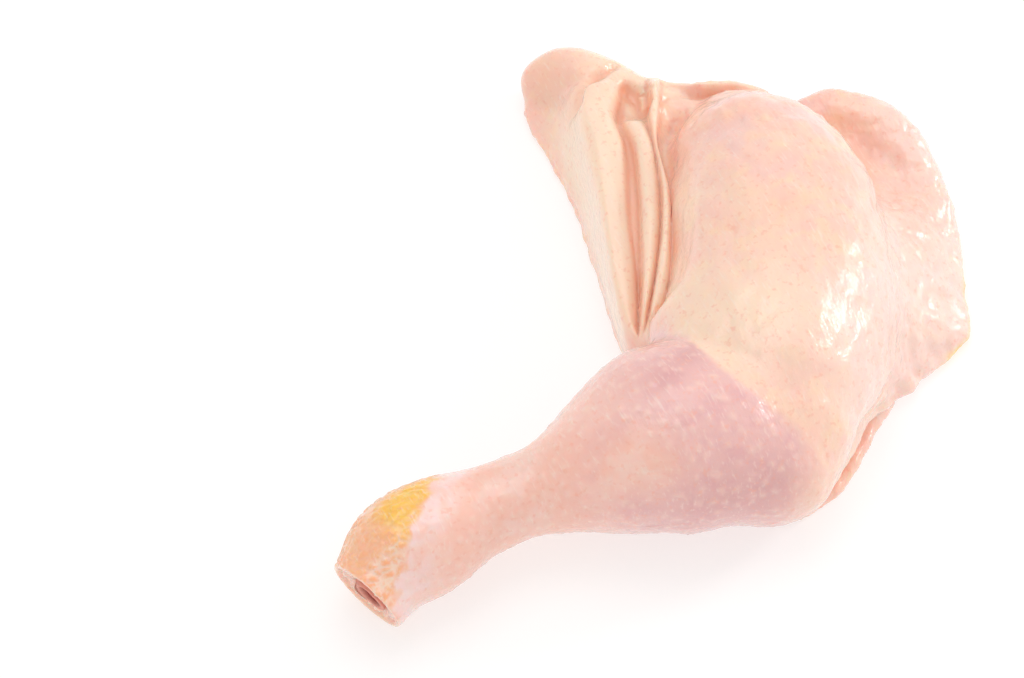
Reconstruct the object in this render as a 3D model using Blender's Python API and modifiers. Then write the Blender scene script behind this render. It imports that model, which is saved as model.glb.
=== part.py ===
"""A raw chicken leg quarter, skin on: thigh and drumstick in one piece, lying skin side up.

Metres, +Z up. The underside rests on z = 0 and the origin is below the middle of the piece.
+X runs from the hock to the loose skin, +Y from the knee to the hip end.
"""

import math

import bmesh
import bpy
from mathutils import Matrix, Vector

MM = 0.001
UP = Vector((0, 0, 1))

# Driving sizes, in millimetres.
CUT_RADIUS = 10.6
HOCK_RADIUS = 14.8
SHIN_RADIUS = 11.4
CALF_RADIUS = 27.0
THIGH_HALF_WIDTH = 33.0
THIGH_HALF_HEIGHT = 24.5
SKIN_EDGE = 3.0
BONE_RADIUS = 5.2
BONE_GAP = 0.3
BONE_RECESS = 0.6
BONE_SIDES = 20
BONE_STEPS = 5
BORE_REACH = 6.0
FOLD_SIDES = 16
VOXEL = 1.5
SMOOTHING_ROUNDS = 6
LEG_TRIANGLES = 7600
TABLE_BLOCK = 400.0
CUT_BLOCK = 60.0
SHARP_ANGLE = math.radians(50)
# Everything is moved by this, so that the middle of the whole piece lies over the origin.
TO_MIDDLE = Vector((0.65, 1.15, 0.0))

# Where the shank was cut through, and which way the cut faces.
CUT_CENTRE = Vector((-78.5, -90.3, 14.0))
CUT_NORMAL = Vector((-0.66, -0.73, -0.17)).normalized()

# Rows of x, y, z, half width across, half height, from one end of each form to the other.
DRUMSTICK = (
    (-85.5, -98.5, 12.5, CUT_RADIUS, CUT_RADIUS),
    (-78.5, -89.5, 13.8, CUT_RADIUS + 0.6, CUT_RADIUS + 0.8),
    (-71.5, -79.5, 15.2, HOCK_RADIUS, HOCK_RADIUS + 0.4),
    (-61.0, -72.8, 16.8, HOCK_RADIUS - 0.2, HOCK_RADIUS + 0.2),
    (-51.0, -67.2, 17.2, SHIN_RADIUS + 0.6, SHIN_RADIUS + 0.8),
    (-39.7, -62.3, 18.0, SHIN_RADIUS, SHIN_RADIUS),
    (-31.0, -59.5, 19.0, SHIN_RADIUS + 2.2, SHIN_RADIUS + 2.0),
    (-17.0, -54.6, 21.6, CALF_RADIUS - 6.5, CALF_RADIUS - 6.8),
    (-1.0, -48.6, 23.6, CALF_RADIUS - 0.5, CALF_RADIUS - 2.2),
    (13.0, -48.6, 22.8, CALF_RADIUS - 2.6, CALF_RADIUS - 3.6),
    (25.0, -50.6, 20.0, CALF_RADIUS - 7.4, CALF_RADIUS - 7.4),
)
THIGH = (
    (27.0, -42.0, 21.5, THIGH_HALF_WIDTH - 11.0, THIGH_HALF_HEIGHT - 3.0),
    (27.0, -33.0, 22.8, THIGH_HALF_WIDTH - 5.0, THIGH_HALF_HEIGHT - 1.0),
    (27.5, -20.0, 23.5, THIGH_HALF_WIDTH, THIGH_HALF_HEIGHT),
    (29.5, 0.0, 23.0, THIGH_HALF_WIDTH, THIGH_HALF_HEIGHT),
    (30.0, 20.0, 22.0, THIGH_HALF_WIDTH - 1.5, THIGH_HALF_HEIGHT - 0.5),
    (28.5, 38.0, 20.0, THIGH_HALF_WIDTH - 5.0, THIGH_HALF_HEIGHT - 2.0),
    (25.0, 52.0, 17.5, THIGH_HALF_WIDTH - 9.5, THIGH_HALF_HEIGHT - 5.5),
    (23.5, 60.0, 14.5, THIGH_HALF_WIDTH - 14.5, THIGH_HALF_HEIGHT - 10.5),
)
# The meat side, pressed flat between the thigh and the table.
UNDERSIDE = (
    (12.0, -22.0, 7.0, 20.0, 9.0),
    (12.0, 20.0, 7.0, 24.0, 9.5),
    (14.0, 62.0, 7.0, 26.0, 9.0),
)
# Loose skin on the inner side of the thigh: the flap it lies on, then three folds side by side.
INNER_FLAP = (
    (-2.0, 72.0, 9.0, 16.0, 9.5),
    (-11.0, 54.0, 7.0, 12.5, 10.5),
    (-8.5, 28.0, 6.5, 10.0, 10.5),
    (-7.0, 6.0, 6.0, 8.0, 9.5),
    (-5.0, -8.0, 5.0, 6.5, 8.0),
)
BROAD_FOLD = (
    (-13.0, 78.0, 14.0, 8.5, 8.5),
    (-16.6, 66.0, 16.5, 7.4, 9.0),
    (-15.4, 50.0, 16.5, 5.8, 9.0),
    (-12.9, 34.0, 15.5, 4.4, 8.5),
    (-11.5, 16.0, 13.5, 3.5, 8.0),
    (-10.4, 0.0, 11.0, 2.6, 7.0),
    (-8.6, -10.0, 9.0, 1.8, 6.0),
)
MIDDLE_FOLD = (
    (-6.6, 62.0, 18.5, 3.0, 8.0),
    (-5.6, 46.0, 19.5, 3.4, 8.5),
    (-4.8, 28.0, 18.5, 3.3, 8.5),
    (-5.2, 12.0, 16.5, 2.8, 8.0),
    (-6.2, -2.0, 14.0, 2.0, 7.0),
    (-7.4, -12.0, 11.5, 1.5, 6.0),
)
NARROW_FOLD = (
    (-1.2, 66.0, 21.0, 1.7, 9.0),
    (-0.2, 46.0, 22.0, 1.8, 9.0),
    (0.8, 28.0, 21.5, 1.8, 9.0),
    (-0.6, 10.0, 19.5, 1.7, 8.5),
    (-4.0, -4.0, 17.0, 1.5, 7.5),
    (-6.6, -14.0, 13.5, 1.3, 6.5),
)
BACK_LOBE = (
    (-34.0, 86.5, 7.6, 6.5, 7.0),
    (-27.0, 86.5, 10.0, 9.0, 9.5),
    (-17.0, 81.4, 12.0, 9.0, 9.5),
    (-6.0, 74.0, 13.0, 8.0, 8.5),
    (6.0, 69.0, 12.5, 7.0, 9.0),
)
HIP_HEM = (
    (-3.0, 77.0, 14.0, 2.2, 6.5),
    (8.0, 74.5, 14.5, 2.2, 7.0),
    (20.0, 74.5, 14.5, 2.2, 7.5),
    (30.0, 72.5, 13.0, 2.2, 7.5),
)
OUTER_PUFF = (
    (43.0, 75.0, 7.0, 5.5, 6.0),
    (54.0, 74.5, 8.4, 7.0, 7.0),
    (66.0, 68.5, 8.0, 7.2, 7.0),
    (73.5, 57.5, 6.0, 6.4, 6.0),
    (78.5, 44.0, 4.8, 5.4, 4.8),
    (82.0, 26.0, 3.4, 3.8, 3.4),
)
# The skin spread on the table: x, y, z at its root in the thigh, x, y, z on its free edge,
# and how far it bulges between them.
OUTER_SKIN = (
    (6.0, 54.0, 9.0, 2.0, 75.0, 8.0, 0.0),
    (18.0, 54.0, 9.0, 20.0, 77.5, 8.0, 0.0),
    (26.0, 52.0, 9.0, 35.0, 75.0, 7.0, 0.0),
    (34.0, 48.0, 9.0, 66.0, 70.5, 6.5, 0.0),
    (38.0, 40.0, 14.0, 80.0, 48.0, 5.0, 1.0),
    (36.0, 26.0, 28.0, 85.6, 33.0, 3.6, 3.0),
    (33.0, 12.0, 34.0, 87.0, 14.0, 2.4, 4.0),
    (31.0, -2.0, 35.0, 86.0, -2.0, 2.2, 4.5),
    (30.0, -12.0, 35.0, 75.5, -13.0, 2.2, 5.0),
    (29.0, -20.0, 36.0, 66.5, -22.5, 4.4, 8.0),
    (28.0, -26.0, 36.0, 55.5, -33.0, 8.0, 9.0),
    (24.0, -32.0, 35.0, 50.0, -44.5, 8.4, 9.0),
    (19.0, -38.0, 34.0, 42.8, -56.0, 8.4, 7.0),
    (14.0, -42.0, 30.0, 32.0, -64.0, 7.4, 4.0),
)
INNER_SKIN = (
    (-14.0, 84.0, 10.0, -38.0, 89.0, 3.4, 0.0),
    (-12.0, 74.0, 13.0, -39.0, 77.0, 2.4, 0.0),
    (-10.0, 60.0, 15.0, -32.5, 60.0, 2.2, 1.0),
    (-8.0, 42.0, 15.0, -25.5, 42.0, 2.2, 2.0),
    (-6.0, 22.0, 14.0, -20.0, 20.0, 2.2, 2.0),
    (-5.0, 4.0, 12.0, -15.5, 0.0, 2.2, 2.0),
    (-3.0, -8.0, 10.0, -9.0, -14.0, 2.2, 1.0),
)
UNDER_SKIN = (
    (38.0, -12.0, 3.0, 66.0, -23.0, 1.0, 0.0),
    (34.0, -20.0, 3.0, 60.5, -32.0, 1.8, 0.0),
    (28.0, -28.0, 3.0, 54.0, -43.0, 2.0, 0.0),
    (22.0, -34.0, 3.0, 47.5, -53.5, 2.0, 0.0),
    (16.0, -40.0, 3.0, 38.0, -62.5, 1.8, 0.0),
)


def smooth_rows(rows, steps):
    """Catmull-Rom through the rows, each column on its own."""
    last = len(rows) - 1
    out = []
    for i in range(last):
        near = [rows[min(max(i + k, 0), last)] for k in (-1, 0, 1, 2)]
        for k in range(steps):
            t = k / steps
            out.append([
                b + 0.5 * t * (c - a + t * (2 * a - 5 * b + 4 * c - d + t * (3 * (b - c) + d - a)))
                for a, b, c, d in zip(*near)
            ])
    out.append(list(rows[last]))
    return out


def join_rings(bm, rings):
    """Faces between neighbouring rings of equal count, and one over each end."""
    count = len(rings[0])
    for one, two in zip(rings, rings[1:]):
        for k in range(count):
            bm.faces.new((one[k], one[(k + 1) % count], two[(k + 1) % count], two[k]))
    bm.faces.new(list(reversed(rings[0])))
    bm.faces.new(rings[-1])


def loft(bm, stations, grow=0.0, steps=6, sides=28, cap_steps=4):
    """A closed form of oval rings along a bent line, with domed ends."""
    rows = smooth_rows(stations, steps)
    centres = [Vector(row[:3]) for row in rows]
    ahead = [
        (centres[min(i + 1, len(rows) - 1)] - centres[max(i - 1, 0)]).normalized()
        for i in range(len(rows))
    ]
    rings = []

    def ring(centre, direction, width, height):
        across = direction.cross(UP).normalized()
        rise = across.cross(direction)
        turns = [math.tau * k / sides for k in range(sides)]
        rings.append([
            bm.verts.new((centre + across * width * math.cos(a) + rise * height * math.sin(a)) * MM)
            for a in turns
        ])

    def dome(i, outward):
        """Rings that close the end at row i, from the rim out to a small last ring."""
        width, height = rows[i][3] + grow, rows[i][4] + grow
        order = range(1, cap_steps + 1)
        for k in order if outward > 0 else reversed(order):
            angle = 0.5 * math.pi * k / (cap_steps + 0.35)
            reach = min(width, height) * math.sin(angle) * outward
            shrink = math.cos(angle)
            ring(centres[i] + ahead[i] * reach, ahead[i], width * shrink, height * shrink)

    dome(0, -1)
    for row, centre, direction in zip(rows, centres, ahead):
        ring(centre, direction, row[3] + grow, row[4] + grow)
    dome(len(rows) - 1, 1)
    join_rings(bm, rings)


def spread_skin(bm, stations, across=10, steps=5):
    """A wedge of skin from its root to its rounded free edge, closed below."""
    rings = []
    for row in smooth_rows(stations, steps):
        root, edge, bulge = Vector(row[:3]), Vector(row[3:6]), row[6]
        out = Vector((edge.x - root.x, edge.y - root.y, 0)).normalized()
        half = 0.5 * SKIN_EDGE
        top = []
        for k in range(across + 1):
            t = k / across
            point = root.lerp(edge - out * half, t)
            point.z += half * t + bulge * math.sin(math.pi * t)
            top.append(point)
        low = edge - out * half - UP * half
        low.z = max(low.z, -0.5)
        inner = root.lerp(edge, 0.6)
        foot = [low, Vector((inner.x, inner.y, min(low.z, 0.0))), Vector((root.x, root.y, -0.5))]
        rings.append([bm.verts.new(p * MM) for p in top + [edge] + foot])
    join_rings(bm, rings)


def new_object(name, bm, collection):
    """An object of this bmesh, every face turned outwards."""
    bmesh.ops.recalc_face_normals(bm, faces=bm.faces)
    mesh = bpy.data.meshes.new(name)
    bm.to_mesh(mesh)
    bm.free()
    made = bpy.data.objects.new(name, mesh)
    made.location = TO_MIDDLE * MM
    collection.objects.link(made)
    return made


def finish(obj, name, colour, roughness):
    """One Principled material, and smooth shading that keeps the cut edges sharp."""
    material = bpy.data.materials.new(name)
    material.use_nodes = True
    shader = material.node_tree.nodes["Principled BSDF"]
    shader.inputs["Base Color"].default_value = (*colour, 1)
    shader.inputs["Roughness"].default_value = roughness
    shader.inputs["Metallic"].default_value = 0
    material.diffuse_color = (*colour, 1)
    obj.data.materials.clear()
    obj.data.materials.append(material)
    obj.data.shade_smooth()
    obj.data.set_sharp_from_angle(angle=SHARP_ANGLE)


def cut(obj, cutter):
    modifier = obj.modifiers.new("cut by " + cutter.name, "BOOLEAN")
    modifier.operation = "DIFFERENCE"
    modifier.solver = "EXACT"
    modifier.object = cutter


def cutter_object(name, bm):
    made = new_object(name, bm, cutters)
    made.hide_render = True
    made.display_type = "WIRE"
    return made


def block(name, centre, size, facing):
    """A cube whose near face stands on centre and whose body lies on the facing side."""
    bm = bmesh.new()
    bmesh.ops.create_cube(bm, size=size * MM)
    made = cutter_object(name, bm)
    turn = facing.to_track_quat("Z", "Y").to_matrix().to_4x4()
    made.matrix_world = Matrix.Translation((TO_MIDDLE + centre + facing * size * 0.5) * MM) @ turn
    return made


for old in list(bpy.data.objects):
    bpy.data.objects.remove(old)
parts = bpy.data.collections.new("chicken leg quarter")
cutters = bpy.data.collections.new("cutters")
for collection in (parts, cutters):
    bpy.context.scene.collection.children.link(collection)

# The leg: meat and skin in one. The forms overlap, and the remesh makes one skin of them.
bm = bmesh.new()
for stations in (DRUMSTICK, THIGH, UNDERSIDE, INNER_FLAP, BACK_LOBE, OUTER_PUFF):
    loft(bm, stations)
for stations in (BROAD_FOLD, MIDDLE_FOLD, NARROW_FOLD, HIP_HEM):
    loft(bm, stations, sides=FOLD_SIDES)
spread_skin(bm, OUTER_SKIN)
spread_skin(bm, INNER_SKIN)
spread_skin(bm, UNDER_SKIN)
rough = new_object("rough leg", bm, parts)
remesh = rough.modifiers.new("one skin", "REMESH")
remesh.mode = "VOXEL"
remesh.voxel_size = VOXEL * MM
soften = rough.modifiers.new("soften", "SMOOTH")
soften.factor = 0.5
soften.iterations = SMOOTHING_ROUNDS
graph = bpy.context.evaluated_depsgraph_get()
one_skin = bpy.data.meshes.new_from_object(rough.evaluated_get(graph))
bpy.data.objects.remove(rough)
leg = bpy.data.objects.new("leg", one_skin)
leg.location = TO_MIDDLE * MM
parts.objects.link(leg)
thin_out = leg.modifiers.new("thin out", "DECIMATE")
thin_out.ratio = LEG_TRIANGLES / (2 * len(one_skin.polygons))

cut(leg, block("table", Vector((0, 0, 0)), TABLE_BLOCK, -UP))
cut(leg, block("hock cut", CUT_CENTRE, CUT_BLOCK, CUT_NORMAL))

# The bone of the shank, whose end shows at the cut and which runs up to the knee.
cut_to_knee = [Vector(row[:3]) for row in DRUMSTICK]
bone_end = CUT_CENTRE - CUT_NORMAL * BONE_RECESS
BONE = (
    (*bone_end, BONE_RADIUS, BONE_RADIUS),
    (*cut_to_knee[2], BONE_RADIUS + 1.2, BONE_RADIUS + 0.8),
    (*cut_to_knee[4], BONE_RADIUS - 1.2, BONE_RADIUS - 1.4),
    (*cut_to_knee[7], BONE_RADIUS - 1.0, BONE_RADIUS - 1.0),
    (*cut_to_knee[8], BONE_RADIUS + 2.0, BONE_RADIUS + 1.6),
)
bm = bmesh.new()
loft(bm, BONE, sides=BONE_SIDES, steps=BONE_STEPS)
shank_bone = new_object("shank_bone", bm, parts)
cut(shank_bone, block("bone cut", bone_end, CUT_BLOCK, CUT_NORMAL))
bore_mouth = (*(CUT_CENTRE + CUT_NORMAL * BORE_REACH), BONE_RADIUS, BONE_RADIUS)
bm = bmesh.new()
loft(bm, (bore_mouth, *BONE), grow=BONE_GAP, sides=BONE_SIDES, steps=BONE_STEPS)
cut(leg, cutter_object("bone bore", bm))

finish(leg, "raw chicken skin", (0.93, 0.63, 0.50), 0.38)
finish(shank_bone, "cut bone", (0.80, 0.42, 0.36), 0.45)
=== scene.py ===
"""A raw chicken leg quarter, skin on: thigh and drumstick in one piece on a white table."""

import math

import bmesh
import bpy
import numpy as np
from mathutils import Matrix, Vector, noise


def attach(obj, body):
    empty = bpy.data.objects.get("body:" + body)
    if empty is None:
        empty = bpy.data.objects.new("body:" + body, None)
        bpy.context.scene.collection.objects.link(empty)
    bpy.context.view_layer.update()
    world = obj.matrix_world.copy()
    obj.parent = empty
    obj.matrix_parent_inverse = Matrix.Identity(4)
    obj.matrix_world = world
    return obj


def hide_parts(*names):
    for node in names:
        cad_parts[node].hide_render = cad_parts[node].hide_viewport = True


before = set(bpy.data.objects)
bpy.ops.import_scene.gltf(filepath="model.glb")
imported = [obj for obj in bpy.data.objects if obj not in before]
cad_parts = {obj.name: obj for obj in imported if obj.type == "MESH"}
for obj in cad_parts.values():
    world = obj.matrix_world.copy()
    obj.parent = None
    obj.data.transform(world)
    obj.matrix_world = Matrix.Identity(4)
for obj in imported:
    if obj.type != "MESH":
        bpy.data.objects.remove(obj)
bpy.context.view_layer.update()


# ---- The table and the light: the leg lies on a matt sheet of opal acrylic, lit softly from below as well as
# by the white room round it, so its shadows are short and pale. Two softboxes put the shine on wet skin.
# The camera looks down on it through a long lens.
MM = 0.001
TABLE_SIDE = 6.0
ELEVATION = math.radians(55)
DISTANCE = 790 * MM
LOOKS_AT = Vector((-41.35, 1.15, 0.0)) * MM


def srgb(text):
    """A colour as #rrggbb, made linear as a shader takes it."""
    parts = [int(text[i:i + 2], 16) / 255 for i in (1, 3, 5)]
    return (*(c / 12.92 if c <= 0.04045 else ((c + 0.055) / 1.055) ** 2.4 for c in parts), 1)


def plug(tree, made, inputs):
    """Feeds a node's inputs with numbers, or with links from other nodes' outputs."""
    for name, value in inputs.items():
        if isinstance(value, bpy.types.NodeSocket):
            tree.links.new(value, made.inputs[name])
        else:
            made.inputs[name].default_value = value


def add(tree, kind, inputs, out=0, **settings):
    """Adds a shader node with its settings and inputs, and gives one of its outputs."""
    made = tree.nodes.new("ShaderNode" + kind)
    for name, value in settings.items():
        setattr(made, name, value)
    plug(tree, made, inputs)
    return made.outputs[out]


def new_material(name):
    made = bpy.data.materials.new(name)
    made.use_nodes = True
    return made, made.node_tree, made.node_tree.nodes["Principled BSDF"]


# Opal acrylic, cast and sanded: milky, without a mirror image, with a faint haze in how matt it is.
acrylic, tree, shader = new_material("opal acrylic")
haze = add(tree, "TexNoise", {"Scale": 9.0, "Detail": 3.0})
plug(tree, shader, {
    "Base Color": srgb("#b4b2b1"),
    "Roughness": add(tree, "MapRange", {"Value": haze, "To Min": 0.58, "To Max": 0.66}),
    "Specular IOR Level": 0.2,
    "Emission Color": srgb("#ffffff"),
    "Emission Strength": 0.58,
})
bpy.ops.mesh.primitive_plane_add(size=TABLE_SIDE)
table = bpy.context.object
table.name = "table_top"
table.data.materials.append(acrylic)

camera = bpy.data.objects.new("camera", bpy.data.cameras.new("camera"))
bpy.context.scene.collection.objects.link(camera)
camera.data.lens = 100
camera.data.sensor_width = 36
camera.location = LOOKS_AT + DISTANCE * Vector((0, -math.cos(ELEVATION), math.sin(ELEVATION)))
camera.rotation_euler = (math.pi / 2 - ELEVATION, 0, 0)
bpy.context.scene.camera = camera

world = bpy.data.worlds.new("white room")
bpy.context.scene.world = world
world.use_nodes = True
plug(world.node_tree, world.node_tree.nodes["Background"], {"Color": srgb("#fffefd"), "Strength": 0.80})
bpy.context.scene.view_settings.view_transform = "Standard"

# Name, place and aim in millimetres, width, height, watts.
for name, place, aim, width, height, watts in (
    ("overhead_softbox", (-150, 300, 1300), (0, 0, 0), 1000, 800, 4.0),
    ("side_softbox", (850, 400, 440), (40, 0, 20), 230, 230, 2.6),
):
    lamp = bpy.data.objects.new(name, bpy.data.lights.new(name, "AREA"))
    lamp.data.shape = "RECTANGLE"
    lamp.data.size = width * MM
    lamp.data.size_y = height * MM
    lamp.data.energy = watts
    lamp.location = Vector(place) * MM
    lamp.rotation_euler = (Vector(aim) * MM - lamp.location).to_track_quat("-Z", "Y").to_euler()
    bpy.context.scene.collection.objects.link(lamp)


# ---- The leg: thigh and drumstick in one piece, raw meat in its own skin, chopped through at the hock. The skin
# lies in folds beside the thigh and spreads round it as a loose skirt on the table. Overlapping forms are
# drawn together under one skin, and the finer shape is then worked into that skin.
# Each form is a row of stations: x, y, z, half width across, half height, in millimetres.
UP = Vector((0, 0, 1))
TO_MIDDLE = Vector((0.65, 1.15, 0.0))
CUT_CENTRE = Vector((-78.5, -90.3, 14.0))
CUT_NORMAL = Vector((-0.66, -0.73, -0.17)).normalized()
SKIN_EDGE = 3.0
SKIN_FLOOR = -0.5
ABOVE_TABLE = 0.05
BODY_VOXEL, BODY_SMOOTHING = 2.0, 12
SKIN_VOXEL, SKIN_SMOOTHING = 0.6, 8
SKIN_TRIANGLES = 186000

DRUMSTICK = (
    (-85.5, -98.5, 12.5, 10.6, 10.6),
    (-78.5, -89.5, 13.8, 11.2, 11.4),
    (-71.5, -79.5, 15.2, 14.8, 15.2),
    (-61.0, -72.8, 16.8, 14.6, 15.0),
    (-51.0, -67.2, 17.2, 12.0, 12.2),
    (-39.7, -62.3, 18.0, 11.4, 11.4),
    (-31.0, -59.5, 19.0, 13.6, 13.4),
    (-17.0, -54.6, 21.6, 20.5, 20.2),
    (-1.0, -48.6, 23.6, 26.5, 24.8),
    (13.0, -48.6, 22.8, 24.4, 23.4),
    (25.0, -50.6, 20.0, 19.6, 19.6),
)
THIGH = (
    (27.0, -42.0, 21.5, 22.0, 21.5),
    (27.0, -33.0, 22.8, 28.0, 23.5),
    (27.5, -20.0, 23.5, 33.0, 24.5),
    (29.5, 0.0, 23.0, 33.0, 24.5),
    (30.0, 20.0, 22.0, 31.5, 24.0),
    (28.5, 38.0, 20.0, 28.0, 22.5),
    (25.0, 52.0, 17.5, 23.5, 19.0),
    (23.5, 60.0, 14.5, 18.5, 14.0),
)
UNDERSIDE = (
    (12.0, -22.0, 7.0, 20.0, 9.0),
    (12.0, 20.0, 7.0, 24.0, 9.5),
    (14.0, 62.0, 7.0, 26.0, 9.0),
)
INNER_FLAP = (
    (-2.0, 72.0, 9.0, 16.0, 9.5),
    (-11.0, 54.0, 7.0, 12.5, 10.5),
    (-8.5, 28.0, 6.5, 10.0, 10.5),
    (-7.0, 6.0, 6.0, 8.0, 9.5),
    (-5.0, -8.0, 5.0, 6.5, 8.0),
)
# What the folds lie on; their own shapes are worked into it further on.
FOLD_BED = (
    (-11.5, 71.0, 11.0, 12.5, 10.5),
    (-11.0, 58.0, 12.0, 12.5, 11.5),
    (-9.5, 40.0, 13.0, 10.5, 11.5),
    (-8.0, 20.0, 12.5, 9.0, 11.5),
    (-7.0, 0.0, 10.5, 7.0, 10.0),
    (-7.0, -9.0, 8.5, 4.5, 8.5),
)
BACK_LOBE = (
    (-34.0, 86.5, 7.6, 6.5, 7.0),
    (-27.0, 86.5, 10.0, 9.0, 9.5),
    (-17.0, 81.4, 12.0, 9.0, 9.5),
    (-6.0, 74.0, 13.0, 8.0, 8.5),
    (6.0, 69.0, 12.5, 7.0, 9.0),
)
HIP_HEM = (
    (-3.0, 77.0, 14.0, 2.2, 6.5),
    (8.0, 74.5, 14.5, 2.2, 7.0),
    (20.0, 74.5, 14.5, 2.2, 7.5),
    (30.0, 72.5, 13.0, 2.2, 7.5),
)
OUTER_PUFF = (
    (43.0, 75.0, 7.0, 5.5, 6.0),
    (54.0, 74.5, 8.4, 7.0, 7.0),
    (66.0, 68.5, 8.0, 7.2, 7.0),
    (73.5, 57.5, 6.0, 6.4, 6.0),
    (78.5, 44.0, 4.8, 5.4, 4.8),
    (82.0, 26.0, 3.4, 3.8, 3.4),
)
# Spread skin: x, y, z at its root, x, y, z on its free edge, and its bulge between them.
OUTER_SKIN = (
    (6.0, 54.0, 9.0, 2.0, 75.0, 8.0, 0.0),
    (18.0, 54.0, 9.0, 20.0, 77.5, 8.0, 0.0),
    (26.0, 52.0, 9.0, 35.0, 75.0, 7.0, 0.0),
    (34.0, 48.0, 9.0, 66.0, 70.5, 6.5, 0.0),
    (38.0, 40.0, 14.0, 80.0, 48.0, 5.0, 1.0),
    (36.0, 26.0, 28.0, 85.6, 33.0, 3.6, 3.0),
    (33.0, 12.0, 34.0, 87.0, 14.0, 2.4, 4.0),
    (31.0, -2.0, 35.0, 86.0, -2.0, 2.2, 4.5),
    (30.0, -12.0, 35.0, 75.5, -13.0, 2.2, 5.0),
    (29.0, -20.0, 36.0, 66.5, -22.5, 4.4, 8.0),
    (28.0, -26.0, 36.0, 55.5, -33.0, 8.0, 9.0),
    (24.0, -32.0, 35.0, 50.0, -44.5, 8.4, 9.0),
    (19.0, -38.0, 34.0, 42.8, -56.0, 8.4, 7.0),
    (14.0, -42.0, 30.0, 32.0, -64.0, 7.4, 4.0),
)
INNER_SKIN = (
    (-14.0, 84.0, 10.0, -38.0, 89.0, 3.4, 0.0),
    (-12.0, 74.0, 13.0, -39.0, 77.0, 2.4, 0.0),
    (-10.0, 60.0, 15.0, -32.5, 60.0, 2.2, 1.0),
    (-8.0, 42.0, 15.0, -25.5, 42.0, 2.2, 2.0),
    (-6.0, 22.0, 14.0, -20.0, 20.0, 2.2, 2.0),
    (-5.0, 4.0, 12.0, -15.5, 0.0, 2.2, 2.0),
    (-3.0, -8.0, 10.0, -9.0, -14.0, 2.2, 1.0),
)
UNDER_SKIN = (
    (38.0, -12.0, 3.0, 63.0, -21.5, 1.0, 0.0),
    (34.0, -20.0, 3.0, 57.8, -30.4, 1.8, 0.0),
    (28.0, -28.0, 3.0, 52.0, -41.8, 2.0, 0.0),
    (22.0, -34.0, 3.0, 45.4, -52.4, 2.0, 0.0),
    (16.0, -40.0, 3.0, 34.4, -60.2, 1.8, 0.0),
)


def smooth_rows(rows, steps):
    """Catmull-Rom through the rows, each column on its own."""
    last = len(rows) - 1
    out = []
    for i in range(last):
        near = [rows[min(max(i + k, 0), last)] for k in (-1, 0, 1, 2)]
        for k in range(steps):
            t = k / steps
            out.append([
                b + 0.5 * t * (c - a + t * (2 * a - 5 * b + 4 * c - d + t * (3 * (b - c) + d - a)))
                for a, b, c, d in zip(*near)
            ])
    out.append(list(rows[last]))
    return out


def join_rings(bm, rings):
    """Faces between neighbouring rings of equal count, and one over each end."""
    count = len(rings[0])
    for one, two in zip(rings, rings[1:]):
        for k in range(count):
            bm.faces.new((one[k], one[(k + 1) % count], two[(k + 1) % count], two[k]))
    bm.faces.new(list(reversed(rings[0])))
    bm.faces.new(rings[-1])


def loft(bm, stations, steps=8, sides=40, cap_steps=6):
    """A closed form of oval rings along a bent line, with domed ends."""
    rows = smooth_rows(stations, steps)
    last = len(rows) - 1
    centres = [Vector(row[:3]) for row in rows]
    rings = []
    plan = [(0, -math.pi / 2 * k / (cap_steps + 0.35)) for k in range(cap_steps, 0, -1)]
    plan += [(i, 0.0) for i in range(last + 1)]
    plan += [(last, math.pi / 2 * k / (cap_steps + 0.35)) for k in range(1, cap_steps + 1)]
    for i, angle in plan:
        ahead = (centres[min(i + 1, last)] - centres[max(i - 1, 0)]).normalized()
        across = ahead.cross(UP).normalized()
        rise = across.cross(ahead)
        width, height = rows[i][3:5]
        centre = centres[i] + ahead * min(width, height) * math.sin(angle) + TO_MIDDLE
        ring = []
        for k in range(sides):
            turn = math.tau * k / sides
            reach = across * width * math.cos(turn) + rise * height * math.sin(turn)
            ring.append(bm.verts.new((centre + reach * math.cos(angle)) * MM))
        rings.append(ring)
    join_rings(bm, rings)


def spread_skin(bm, stations, across=14, steps=8):
    """A wedge of skin from its root to its rounded free edge, closed below."""
    rings = []
    for row in smooth_rows(stations, steps):
        root, edge, bulge = Vector(row[:3]), Vector(row[3:6]), row[6]
        out = Vector((edge.x - root.x, edge.y - root.y, 0)).normalized()
        half = 0.5 * SKIN_EDGE
        outline = []
        for k in range(across + 1):
            t = k / across
            point = root.lerp(edge - out * half, t)
            point.z += half * t + bulge * math.sin(math.pi * t)
            outline.append(point)
        low = edge - out * half - UP * half
        low.z = max(low.z, SKIN_FLOOR)
        inner = root.lerp(edge, 0.6)
        foot = Vector((inner.x, inner.y, min(low.z, 0.0)))
        outline += [edge, low, foot, Vector((root.x, root.y, SKIN_FLOOR))]
        rings.append([bm.verts.new((p + TO_MIDDLE) * MM) for p in outline])
    join_rings(bm, rings)


def settle(made, kind, **settings):
    """Puts one modifier on an object and applies it."""
    modifier = made.modifiers.new(kind.lower(), kind)
    for name, value in settings.items():
        setattr(modifier, name, value)
    graph = bpy.context.evaluated_depsgraph_get()
    made.data = bpy.data.meshes.new_from_object(made.evaluated_get(graph))
    made.modifiers.clear()


def fuse(name, bm, voxel, smoothing):
    """One closed skin round overlapping forms, as an object."""
    bmesh.ops.recalc_face_normals(bm, faces=bm.faces)
    mesh = bpy.data.meshes.new(name)
    bm.to_mesh(mesh)
    bm.free()
    made = bpy.data.objects.new(name, mesh)
    bpy.context.scene.collection.objects.link(made)
    settle(made, "REMESH", mode="VOXEL", voxel_size=voxel * MM)
    settle(made, "SMOOTH", factor=0.5, iterations=smoothing)
    return made


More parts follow.
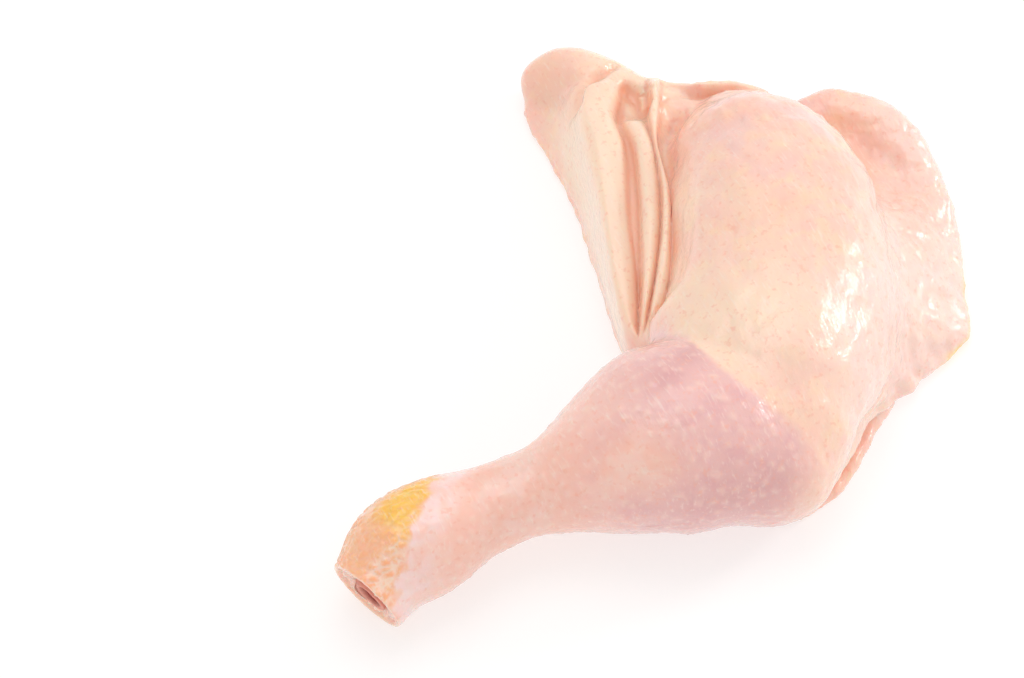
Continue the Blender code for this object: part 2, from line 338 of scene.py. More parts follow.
bm = bmesh.new()
for stations in (DRUMSTICK, THIGH, UNDERSIDE, BACK_LOBE, OUTER_PUFF, FOLD_BED):
    loft(bm, stations)
for stations in (OUTER_SKIN, INNER_SKIN):
    spread_skin(bm, stations)
body = fuse("flesh", bm, BODY_VOXEL, BODY_SMOOTHING)

bm = bmesh.new()
bm.from_mesh(body.data)
bpy.data.objects.remove(body)
for stations in (INNER_FLAP, HIP_HEM):
    loft(bm, stations, sides=28)
spread_skin(bm, UNDER_SKIN)
leg = fuse("leg_skin", bm, SKIN_VOXEL, SKIN_SMOOTHING)
settle(leg, "DECIMATE", ratio=SKIN_TRIANGLES / (2 * len(leg.data.polygons)))


def read(mesh, what, name, width, kind=float):
    """A mesh's own numbers as rows of the given width."""
    flat = np.empty(len(getattr(mesh, what)) * width, kind)
    getattr(mesh, what).foreach_get(name, flat)
    return flat.reshape(-1, width)


def even_out(values, edges, rounds):
    """Averages every point's numbers with those of the points next to it."""
    count = len(values)
    ends = np.concatenate([edges, edges[:, ::-1]])
    degree = np.bincount(ends[:, 0], minlength=count)[:, None]
    for _ in range(rounds):
        near = [np.bincount(ends[:, 0], column[ends[:, 1]], count) for column in values.T]
        values = 0.5 * values + 0.5 * np.stack(near, axis=1) / degree
    return values


def step_up(value, low, high):
    """0 below low, 1 above high and smooth between."""
    t = np.clip((value - low) / (high - low), 0, 1)
    return t * t * (3 - 2 * t)


def from_line(points, line):
    """Distance in millimetres from each point to a bent line."""
    line = np.array(line)
    best = np.full(len(points), np.inf)
    for start, run in zip(line, np.diff(line, axis=0)):
        t = np.clip((points[:, :line.shape[1]] - start) @ run / (run @ run), 0, 1)
        gap = points[:, :line.shape[1]] - start - t[:, None] * run
        best = np.minimum(best, np.linalg.norm(gap, axis=1))
    return best


def blots(points, *spots):
    """Soft round patches: each is x, y, z, radius and how strong."""
    total = np.zeros(len(points))
    for *centre, radius, strength in spots:
        total += strength * np.exp(-((points - centre) ** 2).sum(1) / radius ** 2)
    return np.clip(total, 0, 1)


def lumps(points, size, stretch=(1, 1, 1), seed=0.0):
    """Soft noise of about -1 to 1, whose lumps are about size millimetres."""
    places = points / (size * np.array(stretch)) + seed
    return np.array([noise.fractal(Vector(place), 1.0, 2.0, 2) for place in places])


skin = leg.data
points = read(skin, "vertices", "co", 3) / MM - TO_MIDDLE
edges = read(skin, "edges", "vertices", 2, np.int32)
x, y, z = points.T

# Where the dark meat of the drumstick starts, on the upper side, and how sharply.
MEAT_LINE = (
    (-60.0, 22.0), (-7.2, -14.5), (0.0, -23.6), (4.1, -28.6), (6.6, -34.0), (10.6, -39.7), (16.7, -46.0),
    (23.3, -50.9), (29.8, -54.6), (33.4, -58.5), (34.5, -63.0), (31.0, -69.0), (27.0, -76.0),
)
meat_gap = from_line(points, MEAT_LINE)
run = np.diff(np.array(MEAT_LINE), axis=0)
nearest = np.argmin([from_line(points, MEAT_LINE[i:i + 2]) for i in range(len(run))], axis=0)
aside = points[:, :2] - np.array(MEAT_LINE)[nearest]
meat_side = np.sign(run[nearest, 1] * aside[:, 0] - run[nearest, 0] * aside[:, 1])
beyond = meat_gap * meat_side + 0.8 * lumps(points, 4.0, seed=2.0)
softness = 1.2 + 4.5 * step_up(np.abs(y + 37.0), 10.0, 26.0)
drum = step_up(beyond, -softness, softness)

# Where each point lies on the drumstick: millimetres along it, and round it.
axis = np.array(smooth_rows(DRUMSTICK, 6))
centre = axis[:, :3]
ahead = np.gradient(centre, axis=0)
ahead /= np.linalg.norm(ahead, axis=1)[:, None]
across = np.cross(ahead, (0.0, 0.0, 1.0))
across /= np.linalg.norm(across, axis=1)[:, None]
rise = np.cross(across, ahead)
gone = np.concatenate([[0], np.cumsum(np.linalg.norm(np.diff(centre, axis=0), axis=1))])
nearest = np.argmin(((points[:, None, :] - centre) ** 2).sum(2), axis=1)
offset = points - centre[nearest]
along = gone[nearest] + np.einsum("ij,ij->i", offset, ahead[nearest])
turn = np.arctan2(np.einsum("ij,ij->i", offset, across[nearest]), np.einsum("ij,ij->i", offset, rise[nearest]))
around = turn * (12.0 + 0.55 * (axis[nearest, 3] - 12.0))

# Pores stand in staggered rows, each a low pale bump.
PORE_ROW = 4.0
PORE_GAP = 3.7
PORE_RADIUS = 1.35
PORE_SCATTER = 0.45
pore_gap = np.full(len(points), np.inf)
for row_step in (-1, 0, 1):
    for column_step in (-1, 0, 1):
        row = np.floor(along / PORE_ROW) + row_step
        stagger = 0.5 * (row % 2)
        column = np.floor(around / PORE_GAP + stagger) + column_step
        shake = [
            np.modf(np.sin(row * a + column * b) * 4375.85)[0] * PORE_SCATTER
            for a, b in ((12.99, 78.23), (39.35, 11.14))
        ]
        pore_gap = np.minimum(pore_gap, np.hypot(
            along - (row + 0.5 + shake[0]) * PORE_ROW, around - (column + 0.5 - stagger + shake[1]) * PORE_GAP))

# Past a slanting line over the hock the skin is scaly. Millimetres past that line, which is a little ragged.
HOCK_AT = (-64.0, -73.0)
HOCK_WAY = (-0.951, 0.312)
hock_end = (x - HOCK_AT[0]) * HOCK_WAY[0] + (y - HOCK_AT[1]) * HOCK_WAY[1]
hock_edge = np.where(y < -20, hock_end, -50.0) + 2.2 * lumps(points, 5.0, seed=5.0)
scaly = step_up(hock_edge, 0.0, 2.0)
pore = (1 - step_up(pore_gap, 0.1 * PORE_RADIUS, PORE_RADIUS)) * drum * (1 - step_up(hock_edge, -9, -5))

# Scales on the hock: raised plates a few millimetres across, with cracks between them.
SCALE_SIZE = 2.7
crack = np.zeros(len(points))
for i in np.flatnonzero(scaly > 0):
    near = noise.voronoi(Vector(points[i] / (SCALE_SIZE * np.array((1.0, 0.8, 1.0)))))[0]
    crack[i] = near[1] - near[0]
crack = (1 - step_up(crack, 0.02, 0.30)) * scaly

# The folds between thigh and belly. At each y: x of the broad fold's foot and edges, of the middle fold's edges
# and of the narrow fold's far edge; then heights of the three backs, and of the three creases after them.
FOLDS = np.array(smooth_rows((
    (-14.0, -12.5, -8.0, -7.9, -7.7, -7.2, -5.0, 13.0, 11.5, 14.0, 12.5, 15.0, 13.5),
    (-5.0, -16.0, -11.6, -7.6, -7.3, -5.1, -1.1, 16.5, 13.5, 20.0, 17.0, 21.5, 19.5),
    (3.0, -18.0, -13.0, -7.6, -6.9, -3.4, 0.9, 19.0, 15.0, 22.5, 19.5, 25.0, 23.0),
    (12.0, -19.5, -14.2, -8.1, -6.8, -2.0, 1.7, 21.0, 18.5, 24.5, 21.5, 27.5, 25.5),
    (22.0, -20.5, -15.0, -9.3, -6.9, -1.0, 1.9, 22.5, 20.5, 26.0, 22.5, 28.5, 26.0),
    (33.0, -22.0, -16.0, -9.7, -7.1, -0.9, 1.5, 24.0, 21.5, 27.0, 23.5, 28.5, 26.0),
    (42.0, -23.5, -17.6, -9.7, -7.5, -1.6, 0.1, 24.8, 22.0, 27.0, 24.0, 27.5, 25.0),
    (50.0, -25.5, -20.0, -10.1, -8.3, -2.5, -1.1, 25.5, 22.0, 26.5, 23.5, 26.5, 24.0),
    (58.0, -27.5, -22.3, -12.0, -10.6, -3.7, -0.3, 25.5, 21.5, 24.5, 21.5, 27.0, 23.0),
    (64.0, -29.0, -23.7, -12.2, -10.8, -3.6, 0.2, 25.0, 18.5, 18.5, 19.0, 26.5, 22.5),
    (73.0, -30.0, -23.6, -10.2, -9.6, -3.0, 0.5, 24.0, 18.5, 18.0, 18.5, 25.0, 21.0),
    (80.0, -30.0, -24.0, -8.0, -7.5, -2.8, 0.5, 22.5, 19.5, 19.5, 19.5, 22.0, 19.5),
), 4))
(foot, broad_left, broad_right, middle_left, middle_right, narrow_right,
 back_a, low_a, back_b, low_b, back_c, low_c) = (np.interp(y, FOLDS[:, 0], column) for column in FOLDS[:, 1:].T)


def rounded(t):
    """A fold's section: 0 at both edges, 1 over its broad back."""
    return (1 - np.abs(2 * np.clip(t, 0, 1) - 1) ** 2.6) ** 0.62


normal = read(skin, "vertices", "normal", 3)
target = np.full(len(points), -1.0)
for left, right, low_left, back, low_right in (
    (foot, broad_right, np.minimum(z, low_a), back_a, low_a),
    (middle_left, middle_right, low_a, back_b, low_b),
    (middle_right, narrow_right, low_b, back_c, low_c),
):
    t = (x - left) / (right - left)
    low = low_left + (low_right - low_left) * np.clip(t, 0, 1)
    inside = (t >= 0) & (t <= 1)
    section = np.where((t < 0.5) & (left is foot), step_up(t, -0.05, 0.45), rounded(t))
    target = np.where(inside, low + (back - low) * section, target)
target = np.where((x > broad_right) & (x < middle_left), low_a, target)

# The thigh rolls down into the last crease over this many millimetres. The fold's outer wall is then eased.
THIGH_LIP = 7.0
BACK_EASING = 10
WALL_EASING = 90
lip = np.clip((x - narrow_right) / THIGH_LIP, 0, 1)
target = np.where(x > narrow_right, low_c + (z - low_c) * np.sqrt(1 - (1 - lip) ** 2), target)
up_side = step_up(normal[:, 2], -0.1, 0.15) * step_up(z, 4.0, 7.0)
reshaped = up_side * step_up(x, foot, foot + 4.0) * (x < narrow_right + THIGH_LIP) * (
    step_up(y, -13.5, -6.0) * (1 - step_up(y, 72.0, 79.0)))
points[:, 2] += np.where(reshaped > 0, (target - z) * reshaped, 0)
points += (even_out(points, edges, BACK_EASING) - points) * (0.25 * (reshaped > 0))[:, None]
wall = step_up(x, foot - 8.0, foot - 3.0) * (1 - step_up(x, broad_left, broad_left + 3.0)) * step_up(z, 1.5, 3.0)
wall *= step_up(y, -18.0, -8.0) * (1 - step_up(y, 72.0, 84.0))
points += (even_out(points, edges, WALL_EASING) - points) * wall[:, None]
x, y, z = points.T
gap_a = np.maximum(np.maximum(broad_right - x, x - middle_left), 0)
# Painted shade: orange-red colour along the bottoms of the creases between the folds, where shade falls.
crease_shade = np.maximum.reduce([
    shade_amount * np.exp(-(gap / width) ** 2)
    for shade_amount, gap, width in ((1.0, gap_a, 0.9), (0.8, x - middle_right, 0.7), (0.9, x - narrow_right, 0.8))
]) * step_up(reshaped, 0.2, 0.7)

# Small things worked on top, seen from above: a width, a depth and how much orange-red painted shade they lay in
# (below 0 it takes shade away), then the line's x and y.
CREASES = (
    (1.6, 1.8, 0.5, ((-24.0, 66.0), (-22.4, 71.6), (-19.0, 76.1), (-15.8, 79.1), (-12.5, 82.0))),
    (2.2, 1.2, 0.8, ((-8.8, 73.1), (-6.0, 69.7), (-4.6, 66.0))),
    (0.8, -1.4, -0.8, ((-4.5, 75.0), (-4.4, 67.5))),
    (1.1, 0.6, 0.25, ((1.2, 68.0), (6.4, 71.0), (11.8, 71.5), (18.5, 72.0), (26.0, 71.5))),
)
sink = np.zeros(len(points))
for width, depth, shade_amount, line in CREASES:
    near = np.exp(-(from_line(points, smooth_rows(line, 4)) / width) ** 2) * step_up(z, 8, 14)
    sink += depth * near
    crease_shade = np.clip(crease_shade + shade_amount * near, 0, 1)

# Where the folds, the top of the thigh and the loose skirt lie.
folded = step_up(-x, -3.0, 0.0) * step_up(y, -16.0, -6.0) * step_up(z, 3.0, 10.0)
thigh_top = (1 - drum) * step_up(x, 2.0, 12.0) * step_up(y, 5.0, 40.0) * (1 - step_up(x, 44.0, 54.0))
outer = step_up(x, 50.0, 66.0) * (1 - drum)

# The skin runs from the thigh into the loose skirt without a step, except at the hip end.
SLOPE_LINE = ((58.0, 24.0), (62.0, 8.0), (61.0, -8.0), (55.0, -24.0))
SLOPE_WIDTH = 13.0
SLOPE_EASING = 260
slope = np.exp(-(from_line(points, SLOPE_LINE) / SLOPE_WIDTH) ** 2)
slope = (slope * up_side * step_up(-y, -34.0, -18.0))[:, None]
points += (even_out(points, edges, SLOPE_EASING) - points) * np.clip(1.3 * slope, 0, 1)
x, y, z = points.T
skin.vertices.foreach_set("co", ((points + TO_MIDDLE) * MM).ravel())
skin.update()
normal = read(skin, "vertices", "normal", 3)

# Soft unevenness of the skin: how high in millimetres, the lumps' size and stretch, a seed, and where it lies.
rumpled = blots(points, (53, 38, 33, 7, 1.0), (62, 48, 16, 8, 1.0), (70, 38, 12, 9, 0.9))
swell = np.zeros(len(points))
for high, size, stretch, seed, where in (
    (0.8, 24.0, (1, 1, 1), 3.1, 1 - folded),
    (0.42, 8.0, (1, 1, 1), 7.7, (1 - 0.6 * folded) * (1 - drum)),
    (0.65, 3.6, (0.8, 2.0, 1.0), 11.3, thigh_top * step_up(lumps(points, 14.0, seed=1.0), -0.3, 0.4)),
    (0.7, 7.0, (1.6, 0.8, 1.0), 17.0, outer),
    (0.30, 3.2, (0.7, 1.6, 1.0), 19.0, np.clip(outer + 0.5, 0, 1) * (1 - folded) * (1 - 0.6 * drum)),
    (0.10, 1.9, (1.6, 0.8, 1.0), 43.0, 1 - folded),
    (0.5, 3.4, (1, 1, 1), 31.0, rumpled),
):
    swell += high * lumps(points, size, stretch, seed) * where
swell += 0.18 * pore - 0.32 * crack + 0.15 * scaly - sink
points = points + normal * swell[:, None]
points[:, 2] = np.maximum(points[:, 2], ABOVE_TABLE)
skin.vertices.foreach_set("co", ((points + TO_MIDDLE) * MM).ravel())
skin.update()

# How deep each point lies between its neighbours, for the painted shade that darkens hollows towards orange.
normal = read(skin, "vertices", "normal", 3)
cavity_shade = np.einsum("ij,ij->i", even_out(points, edges, 16) - points, normal)
x, y, z = points.T

# Masks that steer the skin's colour, from 0 to 1. Soft patches are x, y, z, radius and how strong.
lobe = step_up(-x, 16.0, 26.0) * step_up(y, 60.0, 72.0)
fat = folded * (1 - 0.4 * crease_shade) * (1 - 0.85 * lobe) + blots(
    points,
    (4, 74, 20, 5, 1.0), (12, 75, 20, 5, 1.0), (20, 76, 21, 5, 0.8), (28, 75, 20, 5, 0.6),
    (7.3, -16.9, 42.0, 16, 0.5), (17, -30, 45, 20, 0.6), (4.0, 17.4, 36.0, 8, 0.5), (32.8, -20.9, 47.0, 15, 0.3))
# Orange-pink patches: the skin's own flush on the thigh, the lobe and the hock, and painted shade in the valley
# between the thigh's hip end and the skirt's puff.
flush_and_shade = blots(
    points,
    (7.4, 50, 30, 8, 0.4), (16.9, 52.9, 36, 11, 0.25), (25.5, 50.4, 39, 12, 0.15), (5.6, 40, 31, 9, 0.4),
    (56, 64, 9, 9, 0.5), (58, 55, 9, 8, 0.4), (66, 44, 10, 8, 0.4), (48, 30, 36, 6, 0.4), (30, 12, 44, 5, 0.35),
    (71, 34, 12, 8, 0.5), (71, 20, 14, 8, 0.4), (-37, -63, 29, 9, 0.4), (-28, -66, 30, 9, 0.3),
    (-40, -74, 20, 9, 0.6), (-52, -82, 22, 5, 0.8), (-49, -77, 26, 4, 0.7), (-57, -86, 17, 4, 0.7),
    (-45, -76, 18, 5, 0.6), (59.8, -20.8, 26, 10, 0.3), (-33, 85, 14, 9, 0.6), (-19, 76, 22, 7, 0.4))
# Dark purple patches: bruising near the top of the drumstick, and painted shade on its lower front, which faces down
# and away from the light.
bruise_and_low_shade = drum * blots(
    points,
    (6.7, -31.7, 42.6, 4.0, 0.8), (3.0, -37.5, 45, 4.5, 0.8), (-2.5, -44.0, 47, 5.0, 0.6),
    (11.9, -71.6, 28, 10, 0.35), (20.3, -68.7, 28, 10, 0.35), (24.0, -64.0, 33, 7, 0.15), (2.0, -73.7, 22, 10, 0.3))
yolk = scaly * blots(
    points,
    (-63.5, -66.0, 29.5, 5.5, 1.0), (-68.5, -70.5, 31, 6.0, 1.0), (-73.5, -74.0, 30.5, 4.5, 0.8),
    (-69.0, -80.0, 30.0, 4.0, 0.7))
# The skirt's own paler tone, and painted light: lighter patches on the thigh's right slope, where the side softbox
# shines.
pale_and_lit = np.clip(0.9 * outer + blots(
    points, (51, -37, 30, 13, 0.9), (46, -25, 42, 14, 0.7), (56, -8, 34, 13, 0.8)), 0, 1)
veil = drum * blots(
    points, (-12.6, -63.6, 40.9, 8, 0.8), (-4.6, -67.2, 40.4, 7, 0.7), (-17.1, -68.1, 34.8, 7, 0.7))
shin = np.maximum(step_up(-x, 4.0, 34.0) * drum, veil)
lilac = np.clip(thigh_top + 0.6 * outer, 0, 1) * step_up(lumps(points, 9.0, seed=23.0), -0.2, 0.5)
blush = step_up(lumps(points, 6.0, seed=47.0), 0.0, 0.35) * step_up(hock_edge, -22.0, -9.0) * (1 - scaly)
flush_and_shade = np.clip(flush_and_shade + 0.7 * blush, 0, 1)
band = step_up(hock_edge, -9.0, -3.0) * (1 - scaly) * (0.75 + 0.35 * lumps(points, 3.0, seed=41.0))
band = np.clip(band, 0, 1) * (1 - 0.7 * blush)
crack *= 1 - 0.85 * np.clip(yolk, 0, 1)
crack *= np.clip(
    0.25 + step_up(hock_edge, 7.5, 3.0) + step_up(-y, 84.0, 90.0) * step_up(hock_edge, 11.0, 6.0), 0, 1)
# Painted light: the skirt's thin edge by the table on the right is painted yellow, as it looks with light shining
# through it from behind.
edge_glow = (1 - step_up(z, 2.0, 5.0)) * step_up(x, 60.0, 80.0) * step_up(y, -14, -6)
masks = {
    "meat": drum, "fat": fat, "flush_and_shade": flush_and_shade, "bruise_and_low_shade": bruise_and_low_shade, "lilac": lilac, "crease_shade": crease_shade,
    "cavity_shade": np.clip(cavity_shade, -1.0, 1.0), "scaly": scaly, "crack": crack, "yolk": yolk, "band": band,
    "edge_glow": edge_glow, "pore": pore, "pale_and_lit": pale_and_lit, "shin": shin,
}
for name, amount in masks.items():
    skin.attributes.new(name, "FLOAT", "POINT").data.foreach_set("value", np.asarray(amount, np.float32))

# The knife's cut through the hock: the skin's rim, flesh and tendons, and a socket where the bone comes out.
# Rings go in from the rim: how far out, and how far the surface stands proud of the cut. The skin goes in as
# far as SKIN_RIM, and the flesh is torn rough for CUT_RAGGED on both sides of the ring at 0.7.
SKIN_RIM = 0.93
CUT_RAGGED = 0.22
CUT_RINGS = (
    (0.985, 0.25), (0.955, 0.35), (0.92, 0.20), (0.89, -0.30), (0.86, -0.75), (0.82, -0.70), (0.77, -0.45),
    (0.72, -0.40), (0.67, -0.45), (0.62, -0.60), (0.57, -0.80), (0.53, -1.10), (0.50, -1.80), (0.48, -3.00),
)
bm = bmesh.new()
bm.from_mesh(skin)
cut_at = (CUT_CENTRE + TO_MIDDLE) * MM
everything = bm.verts[:] + bm.edges[:] + bm.faces[:]
sliced = bmesh.ops.bisect_plane(bm, geom=everything, plane_co=cut_at, plane_no=CUT_NORMAL, clear_outer=True)
ring = []
edge = next(e for e in sliced["geom_cut"] if isinstance(e, bmesh.types.BMEdge) and e.is_boundary)
vertex = edge.verts[0]
while vertex not in ring[:1]:
    ring.append(vertex)
    edge = next(e for e in vertex.link_edges if e.is_boundary and e is not edge)
    vertex = edge.other_vert(vertex)
count = len(ring)
middle = sum((v.co for v in ring), Vector()) / count
rim_points = [v.co.copy() for v in ring]
for reach, proud in CUT_RINGS:
    inner = []
    for k, start in enumerate(rim_points):
        place = middle.lerp(start, reach) / MM
        rough = noise.fractal(place / 1.8, 1.0, 2.0, 2) * 1.1 * max(0.0, 1 - abs(reach - 0.7) / CUT_RAGGED)
        inner.append(bm.verts.new((place + CUT_NORMAL * (proud + rough)) * MM))
    for k in range(count):
        face = bm.faces.new((ring[k - 1], ring[k], inner[k], inner[k - 1]))
        face.material_index = 1 if reach < SKIN_RIM else 0
    ring = inner
bm.faces.new(ring).material_index = 1
bmesh.ops.recalc_face_normals(bm, faces=bm.faces)
bm.to_mesh(skin)
bm.free()
skin.shade_smooth()

# Raw chicken skin, plucked and wet: light goes some millimetres into it, a film of water lies over it, and its
# colour is mostly that of the fat and meat below. Painted shade darkens its creases, hollows, hip-end valley and the
# drumstick's lower front; painted light brightens its sheen streaks, the thigh's right slope and the skirt's edge.
raw_skin, tree, shader = new_material("raw chicken skin")
look = {name: add(tree, "Attribute", {}, out=2, attribute_name=name) for name in masks}

# Patterns and their real sizes in millimetres. Clouds and patches are the fat and meat below, specks are feather
# roots, and grain and streaks are the skin's fine wrinkles, drawn coarser than they are so that they show. The streaks
# also lay pale lines of painted sheen, a painted highlight, into the colour.
place = add(tree, "TexCoord", {}, out=3)
WRINKLES_TURN = 0.46
for name, size, detail, stretch in (
    ("cloud", 14.0, 3.0, (1, 1, 1)),
    ("patch", 6.0, 3.0, (1, 1, 1)),
    ("speck", 1.6, 2.0, (1, 1, 1)),
    ("grain", 0.8, 4.0, (1, 1, 1)),
    ("wrinkle_and_sheen", 0.75, 2.0, (1, 6, 2)),
):
    scaled = add(tree, "Mapping", {
        "Vector": place, "Rotation": (0, 0, WRINKLES_TURN), "Scale": [size * MM * s for s in stretch],
    }, vector_type="TEXTURE")
    look[name] = add(tree, "TexNoise", {"Vector": scaled, "Scale": 1.0, "Detail": detail, "Roughness": 0.55})

# Colours laid one over another: the tone, how much of it, the mask it keeps to, and, where it is broken up,
# the pattern and the two values of it between which the tone comes in.
colour = srgb("#fcd0ba")
for tone, much, mask, *broken in (
    ("#f9c8b8", 1.0, None, "cloud", 0.40, 0.60),
    ("#fdd3b2", 0.6, None, "patch", 0.48, 0.66),
    ("#feddc4", 0.9, "fat"),
    ("#f0c6c0", 0.75, "lilac"),
    # The skirt's paler tone, and painted light on the thigh's right slope.
    ("#fad8cd", 0.75, "pale_and_lit"),
    # Real flush, and painted shade in the valley at the hip end.
    ("#f3b39a", 0.7, "flush_and_shade"),
    ("#ebbdb8", 1.0, "meat"),
    ("#e3afb0", 0.6, "meat", "patch", 0.45, 0.65),
    ("#f8c4b3", 1.0, "shin"),
    ("#f9cfc2", 0.8, "shin", "cloud", 0.45, 0.60),
    # Bruising on top, and painted shade on the drumstick's lower front.
    ("#d69b9b", 0.85, "bruise_and_low_shade"),
    ("#f8d6c8", 0.42, "pore"),
    ("#f7dcda", 0.8, "band"),
    ("#fbb388", 1.0, "scaly"),
    ("#f9b98c", 1.0, "scaly", "patch", 0.45, 0.60),
    ("#ffc24f", 1.0, "yolk"),
    ("#f9e2d3", 0.75, "crack"),
    ("#f2ab92", 0.40, None, "speck", 0.56, 0.72),
    # Painted highlight: pale streaks of sheen over the whole skin.
    ("#fde9dd", 0.30, None, "wrinkle_and_sheen", 0.55, 0.75),
    # Painted shade: orange darkening in hollows.
    ("#f3a986", 0.40, None, "cavity_shade", 0.12, 0.70),
    # Painted shade: orange-red in the creases.
    ("#f5a584", 0.5, "crease_shade"),
    # Painted light: yellow glow on the skirt's thin edge.
    ("#fbd48c", 1.0, "edge_glow"),
):
    if broken:
        pattern, low, high = broken
        much = add(tree, "MapRange", {
            "Value": look[pattern], "From Min": low, "From Max": high, "To Min": 0.0, "To Max": much,
        }, interpolation_type="SMOOTHSTEP")
    if mask:
        much = add(tree, "Math", {0: look[mask], 1: much}, operation="MULTIPLY")
    colour = add(tree, "Mix", {"Factor": much, 6: colour, 7: srgb(tone)}, out=2, data_type="RGBA")

height = 0.0
for name, weight in (("grain", 0.06), ("wrinkle_and_sheen", 0.16), ("speck", 0.08)):
    height = add(tree, "Math", {0: look[name], 1: weight, 2: height}, operation="MULTIPLY_ADD")
fine = add(tree, "Bump", {"Height": height, "Distance": MM, "Strength": 0.35})
film = add(tree, "Bump", {"Height": height, "Distance": MM, "Strength": 0.9})
matt = add(tree, "MapRange", {
    "Value": look["cloud"], "From Min": 0.35, "From Max": 0.65, "To Min": 0.34, "To Max": 0.48})
plug(tree, shader, {
    "Base Color": colour,
    "Normal": fine,
    "Roughness": matt,
    "IOR": 1.40,
    "Subsurface Weight": 0.6,
    "Subsurface Radius": (1.0, 0.45, 0.30),
    "Subsurface Scale": 2.5 * MM,
    "Coat Weight": 1.0,
    "Coat Roughness": 0.17,
    "Coat IOR": 1.45,
    "Coat Normal": film,
})

# Cut flesh and tendon, chopped by a cleaver: bundles about 3 mm across with bloody seams between them, moist
# and soft, with finer fibres torn up on top.
BUNDLE = 3.0
flesh, tree, shader = new_material("cut flesh and tendon")
place = add(tree, "TexCoord", {}, out=3)
scaled = add(tree, "Mapping", {"Vector": place, "Scale": [1 / (BUNDLE * MM)] * 3})
bundles = add(tree, "TexVoronoi", {"Vector": scaled, "Scale": 1.0, "Randomness": 0.9}, feature="DISTANCE_TO_EDGE")
fibres = add(tree, "TexNoise", {"Vector": scaled, "Scale": 2.5, "Detail": 4.0})
seams = add(tree, "MapRange", {"Value": bundles, "From Min": 0.05, "From Max": 0.30})
torn = add(tree, "MapRange", {"Value": fibres, "From Min": 0.50, "From Max": 0.70, "To Max": 0.8})
colour = add(tree, "Mix", {"Factor": seams, 6: srgb("#a3261d"), 7: srgb("#f08c7c")}, out=2, data_type="RGBA")
colour = add(tree, "Mix", {"Factor": torn, 6: colour, 7: srgb("#b8392e")}, out=2, data_type="RGBA")
plug(tree, shader, {
    "Base Color": colour,
    "Roughness": 0.35,
    "Subsurface Weight": 0.4,
    "Subsurface Radius": (1.0, 0.35, 0.25),
    "Subsurface Scale": 1.5 * MM,
    "Specular IOR Level": 0.25,
    "Normal": add(tree, "Bump", {"Height": fibres, "Distance": 0.4 * MM, "Strength": 0.7}),
})
skin.materials.clear()
skin.materials.append(raw_skin)
skin.materials.append(flesh)

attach(leg, "root")
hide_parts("leg")


# ---- The shank bone: a pale hard shell round dark marrow, held in the meat and chopped through with it at the
# hock. Only its rough end shows; it runs on inside, up to the knee.
# Rows as the forms above, and how far out each ring of its end is and how proud of the end it stands.
BONE_RADIUS = 4.9
BONE_END = CUT_CENTRE - CUT_NORMAL * 0.3
BONE_ROWS = (
    (*BONE_END, BONE_RADIUS, BONE_RADIUS),
    (-71.5, -79.5, 15.2, BONE_RADIUS + 1.2, BONE_RADIUS + 0.8),
    (-51.0, -67.2, 17.2, BONE_RADIUS - 1.0, BONE_RADIUS - 1.2),
    (-17.0, -54.6, 21.6, BONE_RADIUS - 0.8, BONE_RADIUS - 0.8),
    (-1.0, -48.6, 23.6, BONE_RADIUS + 1.8, BONE_RADIUS + 1.4),
)
BONE_FACE = (
    (0.98, 0.25), (0.90, 0.42), (0.82, 0.30), (0.74, 0.05), (0.66, -0.45), (0.52, -0.75), (0.36, -0.60), (0.18, -0.70),
)
BONE_SIDES = 64
MARROW_RADIUS = 3.6
SHELL_STARTS = 4.6
rows = smooth_rows(BONE_ROWS, 16)
line = [Vector(row[:3]) for row in rows]
bm = bmesh.new()
rings = []
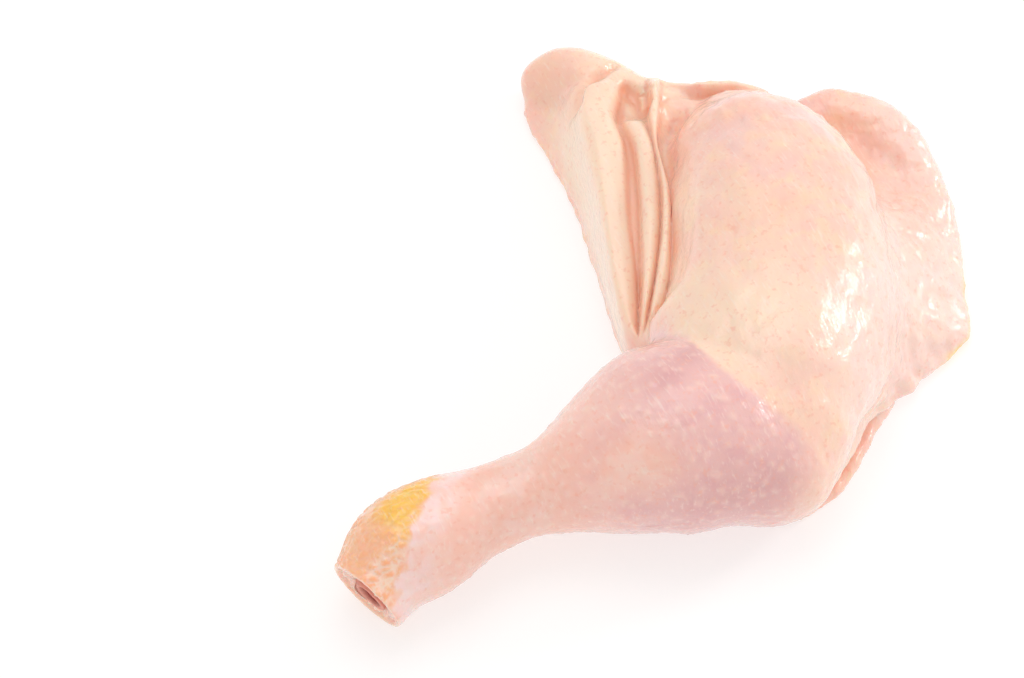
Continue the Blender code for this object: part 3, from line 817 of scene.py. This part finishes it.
for i, row in enumerate(rows):
    ahead = (line[min(i + 1, len(rows) - 1)] - line[max(i - 1, 0)]).normalized() if i else -CUT_NORMAL
    across = ahead.cross(UP).normalized()
    rise = across.cross(ahead)
    ring = []
    for k in range(BONE_SIDES):
        angle = math.tau * k / BONE_SIDES
        spoke = across * row[3] * math.cos(angle) + rise * row[4] * math.sin(angle)
        spoke *= 1 + 0.05 * noise.noise((line[i] + spoke) / 4.0) + 0.03 * math.cos(3 * angle + 0.6)
        ring.append(bm.verts.new((line[i] + spoke + TO_MIDDLE) * MM))
    rings.append(ring)
mouth = [v.co / MM for v in rings[0]]
middle = sum(mouth, Vector()) / BONE_SIDES
for reach, proud in BONE_FACE:
    ring = []
    for start in mouth:
        point = middle.lerp(start, reach)
        chipped = 0.25 * noise.fractal(point / 1.1, 1.0, 2.0, 2) * (1 if reach < 0.7 else 0.5)
        ring.append(bm.verts.new((point + CUT_NORMAL * (proud + chipped)) * MM))
    rings.insert(0, ring)
join_rings(bm, rings)
bmesh.ops.recalc_face_normals(bm, faces=bm.faces)
mesh = bpy.data.meshes.new("shank_bone_end")
bm.to_mesh(mesh)
bm.free()
mesh.shade_smooth()
bone = bpy.data.objects.new("shank_bone_end", mesh)
bpy.context.scene.collection.objects.link(bone)
from_axis = np.linalg.norm(read(mesh, "vertices", "co", 3) / MM - middle, axis=1)
mesh.attributes.new("out", "FLOAT", "POINT").data.foreach_set("value", from_axis.astype(np.float32))

# Bone is a pale shell with a little blood in it, and its marrow is a dark brownish red sponge. Both are grained
# too finely to see, which leaves them dull.
chopped, tree, shader = new_material("chopped bone and marrow")
sponge = add(tree, "TexNoise", {"Scale": 1 / (1.2 * MM), "Detail": 3.0})
out_there = add(tree, "Math", {
    0: sponge, 1: 1.6, 2: add(tree, "Attribute", {}, out=2, attribute_name="out")}, operation="MULTIPLY_ADD")
shell = add(tree, "MapRange", {"Value": out_there, "From Min": MARROW_RADIUS, "From Max": SHELL_STARTS})
colour = add(tree, "Mix", {"Factor": shell, 6: srgb("#93241b"), 7: srgb("#f3a795")}, out=2, data_type="RGBA")
plug(tree, shader, {
    "Base Color": colour,
    "Roughness": 0.4,
    "Subsurface Weight": 0.3,
    "Subsurface Radius": (1.0, 0.4, 0.3),
    "Subsurface Scale": 1.0 * MM,
    "Specular IOR Level": 0.25,
    "Normal": add(tree, "Bump", {"Height": sponge, "Distance": 0.3 * MM, "Strength": 0.6}),
})
mesh.materials.append(chopped)
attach(bone, "root")
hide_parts("shank_bone")
